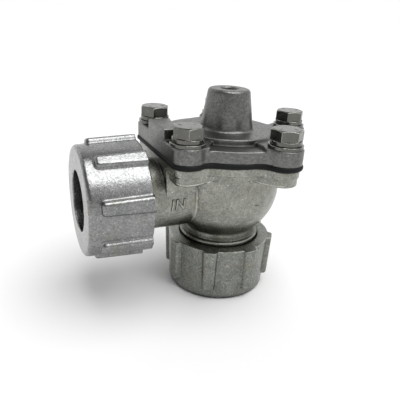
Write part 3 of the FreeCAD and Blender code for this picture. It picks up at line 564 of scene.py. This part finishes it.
# %% The inlet's letters
STROKES = (
    ((-34.35, -2.3), (-33.85, 2.1)),
    ((-32.35, -2.3), (-31.85, 2.1)),
    ((-31.85, 2.1), (-28.75, -2.3)),
    ((-28.75, -2.3), (-28.25, 2.1)),
)
STROKE_STEP = 0.015 * MM
letter_points, letter_faces, letter_shades = [], [], []
for number, (start, end) in enumerate(STROKES):
    add_stroke(letter_points, letter_faces, letter_shades, start, end,
               LETTER_RAISED - number * STROKE_STEP)

new_piece("inlet_letters", letter_points, letter_faces, "valve",
          (body_casting, dirt_and_shade_casting), letter_shades)

# %% [markdown]
# Marks on the casting
#
# The photograph shows a bright line where the arm meets the bowl, rough nubs where two ears run out,
# and a scratch and a nick. Low ridges stand for them; the ridge at the arm and the flash under the
# ears carry a painted highlight in their bright finish, and the nubs and the nick are fresh metal.
# Each is placed where the camera sees it: a ray from the camera through a picture point finds the
# casting, and a low ridge is laid on the metal there.

# %% Where the camera sees the castings
# The photograph is a square of 400 by 400 picture points
PICTURE = 400
depsgraph = bpy.context.evaluated_depsgraph_get()
skins = {name: BVHTree.FromObject(nodes[name], depsgraph) for name in ("valve_body", "outlet_nut")}


def seen_at(node_name, across, down):
    """The point of a node that lies behind a picture point, and the way that its surface faces."""
    spread = camera_data.sensor_width / FOCAL_LENGTH / PICTURE
    ray = right * (across - PICTURE / 2) * spread + up * (PICTURE / 2 - down) * spread - back
    return skins[node_name].ray_cast(camera.location, ray.normalized())[:2]


print("the casting behind the picture's middle:", seen_at("valve_body", 200, 200)[0])

# %% [markdown]
# A ridge follows its places like a bead of wax. Across it lie five points: two sunk feet, two
# shoulders and the crest. Its two ends are drawn in to a third of the size.

# %% A low ridge
RIDGE_SECTION = ((-1.0, -0.4), (-0.6, 0.7), (0.0, 1.0), (0.6, 0.7), (1.0, -0.4))
END_TAPER = 0.35


def add_ridge(points, faces, places, half_width, height):
    """A low rounded ridge through places, each a point on the metal and the way the metal faces."""
    first = len(points)
    for i, (place, facing) in enumerate(places):
        before, after = places[max(i - 1, 0)][0], places[min(i + 1, len(places) - 1)][0]
        aside = facing.cross(after - before).normalized()
        taper = END_TAPER if i in (0, len(places) - 1) else 1.0
        for offset, rise in RIDGE_SECTION:
            points.append(place + (aside * offset * half_width + facing * rise * height) * taper)
    for i in range(len(places) - 1):
        for j in range(4):
            corner = first + i * 5 + j
            faces.append((corner, corner + 5, corner + 6, corner + 1))


print("a ridge has", len(RIDGE_SECTION), "points across")

# %% [markdown]
# Each row below gives a ridge's name, its node and body, its half width and height in millimetres,
# its finish, and the picture points that it runs through.

# %% Seam and flash with painted highlight, nubs and scratches
RIDGES = (
    # The seam and the ears' flash are bright as a painted highlight on a real low ridge; the nubs and the
    # nick are fresh metal.
    ("arm_seam_highlight", "valve_body", "valve", 0.60, 0.20, worn_and_highlight_casting,
     ((196.8, 188), (196.7, 193), (196.6, 198), (196.5, 203), (196.3, 208), (195.8, 212), (194.8, 216),
      (193.2, 219), (191.0, 221.5))),
    ("left_ear_nub", "valve_body", "valve", 0.55, 0.35, worn_and_highlight_casting,
     ((207, 183.2), (209, 182.2), (211, 181.6), (213, 181.4))),
    ("right_ear_nub", "valve_body", "valve", 0.50, 0.30, worn_and_highlight_casting,
     ((250.5, 181), (252.5, 182), (255, 183.2))),
    ("left_ear_flash_highlight", "valve_body", "valve", 0.32, 0.22, worn_and_highlight_casting,
     ((171.8, 180.2), (175, 182.8), (178, 184.4), (181, 185.4), (185, 186.0), (190, 185.9), (195.4, 185.3),
      (200, 184.1), (204.6, 182.7), (207.5, 181.6))),
    ("right_ear_flash_highlight", "valve_body", "valve", 0.32, 0.22, worn_and_highlight_casting,
     ((256, 181.6), (260, 183.0), (264, 184.0), (268, 184.9), (272, 185.7), (277, 186.4), (281, 186.8),
      (285, 186.7))),
    ("bowl_scratch", "valve_body", "valve", 0.28, 0.06, dirt_and_shade_casting,
     ((254.4, 205.4), (256, 205.2), (258, 205.3), (259.8, 204.9))),
    ("outlet_nut_nick", "outlet_nut", "outlet_nut", 0.22, 0.10, worn_and_highlight_casting,
     ((226.2, 265.2), (227.6, 266.2), (229.4, 267.6))),
)
for name, node_name, body, half_width, height, material, picture_points in RIDGES:
    ridge_points, ridge_faces = [], []
    places = [seen_at(node_name, across, down) for across, down in picture_points]
    add_ridge(ridge_points, ridge_faces, places, half_width * MM, height * MM)
    new_piece(name, ridge_points, ridge_faces, body, (material,))

# %% [markdown]
# Relief on the bolt heads
#
# A forged bolt head has a little relief on top that flashes in the light. Here it is three plain
# radial bars near the rim of each head, made with the same low ridge as the seams. No two bolts
# were tightened to the same angle, so the bars turn by some degrees from bolt to bolt.

# %% Bars on the bolt heads
BOLT_CIRCLE = 37.3 * MM
BOLT_COUNT = 5
BAR_COUNT = 3
STEP_FROM_BOLT_TO_BOLT = 47
BAR_REACHES = (2.9, 3.5, 4.3, 4.9)
BAR_HALF_WIDTH = 0.32 * MM
BAR_HEIGHT = 0.14 * MM
head_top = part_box("cover_bolts")[1].z
UP = Vector((0, 0, 1))
mark_points, mark_faces = [], []
for number in range(BOLT_COUNT):
    turn = math.radians(360 / BOLT_COUNT * number)
    middle = Vector((BOLT_CIRCLE * math.cos(turn), BOLT_CIRCLE * math.sin(turn), head_top))
    for bar in range(BAR_COUNT):
        way = math.radians(STEP_FROM_BOLT_TO_BOLT * number + 120 * bar)
        outwards = Vector((math.cos(way), math.sin(way), 0))
        places = [(middle + outwards * reach * MM, UP) for reach in BAR_REACHES]
        add_ridge(mark_points, mark_faces, places, BAR_HALF_WIDTH, BAR_HEIGHT)
new_piece("bolt_head_marks", mark_points, mark_faces, "valve", (stainless,))

# %% [markdown]
# The screw threads
#
# The CAD solids have plain cylinders for threads. Only three short stretches can be seen: the last
# turn of each spigot's thread behind its nut, and the first turns inside the pilot port. A thread is
# one ridge wound like a spring, so one function winds all three. Its section is nearly a triangle: a
# foot, a narrow flat crest, and a foot.

# %% Threads that can be seen
STEPS_PER_TURN = 72
TAPER_STEPS = 12


def wound_ridge(name, axis_place, axis_turn, foot_radius, crest_radius, start, turns, pitch,
                material):
    """A helical ridge between two radii. Its ends taper so that they don't stop like a cut wire."""
    steps = int(turns * STEPS_PER_TURN)
    points, faces = [], []
    for i in range(steps + 1):
        angle = 2 * math.pi * turns * i / steps
        fade = min(1.0, i / TAPER_STEPS, (steps - i) / TAPER_STEPS)
        crest = foot_radius + (crest_radius - foot_radius) * fade
        height = start + pitch * turns * i / steps
        for radius, rise in ((foot_radius, -0.42), (crest, -0.06), (crest, 0.06), (foot_radius, 0.42)):
            points.append(Vector((radius * math.cos(angle), radius * math.sin(angle),
                                  height + rise * pitch)))
    inside = crest_radius < foot_radius
    for i in range(steps):
        for j in range(3):
            corner = i * 4 + j
            face = (corner, corner + 4, corner + 5, corner + 1)
            faces.append(face[::-1] if inside else face)
    return new_piece(name, [axis_place + axis_turn @ point for point in points], faces, "valve",
                     (material,))


UPRIGHT = Matrix.Identity(3)
SIDEWAYS = Matrix.Rotation(math.radians(90), 3, "Y")
SPIGOT_RADIUS = 20.9 * MM
SPIGOT_THREAD_START = 28.7 * MM
PORT_RADIUS = 4.43 * MM
PORT_PITCH = 0.907 * MM
PORT_THREAD_DEPTH = 6.6 * MM
inlet_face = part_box("inlet_nut")[0].x
for name, place, turn in (("outlet_thread_end", Vector((0, 0, 0)), UPRIGHT),
                          ("inlet_thread_end", Vector((inlet_face, 0, INLET_AXIS)), SIDEWAYS)):
    wound_ridge(name, place, turn, SPIGOT_RADIUS - 0.05 * MM, SPIGOT_RADIUS + 0.3 * MM,
                SPIGOT_THREAD_START, 0.95, 1.2 * MM, body_casting)
wound_ridge("pilot_port_thread", Vector((0, 0, 0)), UPRIGHT, PORT_RADIUS + 0.03 * MM,
            PORT_RADIUS - 0.28 * MM, COVER_HIGH.z - PORT_THREAD_DEPTH, 6.0, PORT_PITCH,
            cover_casting)

# %% [markdown]
# The valve stands on white paper, so large that its end can't be seen from above. Paper has no shine.

# %% Floor
FLOOR_SIZE = 80.0
bpy.ops.mesh.primitive_plane_add(size=FLOOR_SIZE, location=(0, 0, 0))
floor = bpy.context.object
floor.name = "studio_floor"
floor_paint, floor_tree, floor_output = new_material("white_paper")[:3]
floor_shader = add_node(floor_tree, "BsdfPrincipled", None,
                        {"Base Color": linear("#ebebeb"), "Roughness": 0.9, "Specular IOR Level": 0.0})
floor_tree.links.new(floor_shader.outputs["BSDF"], floor_output.inputs["Surface"])
dress(floor, floor_paint)
print(floor.name, "is", FLOOR_SIZE, "m wide")

# %% [markdown]
# Bare metal has no colour of its own to speak of: it shows the room. The room is a dim grey studio,
# so that the metal has something dark to reflect. Behind the valve, a little to the right, a white
# wall goes up most of the way, and the cover and the bolt heads, which are seen at a low angle, mirror
# it. A white band round the horizon carries the white of the paper on past its end.

# %% Room
ROOM_GREY, WALL_WHITE, HORIZON_WHITE = 0.28, 1.0, 1.0
WALL_DIRECTION = (0.35, 0.94, 0.0)

world = bpy.data.worlds.new("studio_world")
bpy.context.scene.world = world
world.use_nodes = True
world_tree = world.node_tree
world_tree.nodes.clear()
direction = add_node(world_tree, "TexCoord").outputs["Generated"]
height = add_node(world_tree, "SeparateXYZ", None, {0: direction}).outputs["Z"]

towards_wall = add_node(world_tree, "VectorMath", {"operation": "DOT_PRODUCT"},
                        {0: direction, 1: WALL_DIRECTION})
behind = add_node(world_tree, "MapRange", None,
                  {"Value": towards_wall.outputs["Value"], "From Min": -0.1, "From Max": 0.35})
wall_light = add_node(world_tree, "MapRange", None,
                      {"Value": height, "From Min": 0.70, "From Max": 0.88,
                       "To Min": WALL_WHITE - ROOM_GREY, "To Max": 0.0})
room = add_node(world_tree, "Math", {"operation": "MULTIPLY_ADD"},
                {0: behind.outputs["Result"], 1: wall_light.outputs["Result"], 2: ROOM_GREY})

horizon = add_node(world_tree, "MapRange", None,
                   {"Value": height, "From Min": 0.14, "From Max": 0.36,
                    "To Min": HORIZON_WHITE, "To Max": 0.0})
glow = add_node(world_tree, "Math", {"operation": "MAXIMUM"},
                {0: room.outputs[0], 1: horizon.outputs["Result"]})
background = add_node(world_tree, "Background", None,
                      {"Color": linear("#ffffff"), "Strength": glow.outputs[0]})
add_node(world_tree, "OutputWorld", None, {"Surface": background.outputs[0]})
print("room", ROOM_GREY, "wall", WALL_WHITE, "horizon", HORIZON_WHITE)

# %% [markdown]
# The main light is a very wide softbox overhead, a little in front and to the right: it fills the
# upper crests of the ribs and the top of each rounded edge, and leaves the undersides dark. A much
# weaker panel lower in front on the right lifts the sides that face it. Both are sun lamps with a
# large angle, which light the paper evenly as far as the eye can see. The Standard view transform
# keeps the paper white and the greys as they were chosen.

# %% Lamps
bpy.context.scene.view_settings.view_transform = "Standard"


def add_panel(name, comes_from, energy, width_in_degrees):
    """A wide, even lamp in a direction, which its width in degrees makes soft."""
    data = bpy.data.lights.new(name, "SUN")
    data.energy = energy
    data.angle = math.radians(width_in_degrees)
    lamp = bpy.data.objects.new(name, data)
    bpy.context.scene.collection.objects.link(lamp)
    lamp.rotation_euler = Vector(comes_from).to_track_quat("Z", "Y").to_euler()


add_panel("softbox", comes_from=(0.18, -0.22, 0.96), energy=2.45, width_in_degrees=52)
add_panel("front_panel", comes_from=(0.42, -0.70, 0.57), energy=0.4, width_in_degrees=44)
print("lamps:", [lamp.name for lamp in bpy.data.lights])

# %% The view layer brought up to date
bpy.context.view_layer.update()
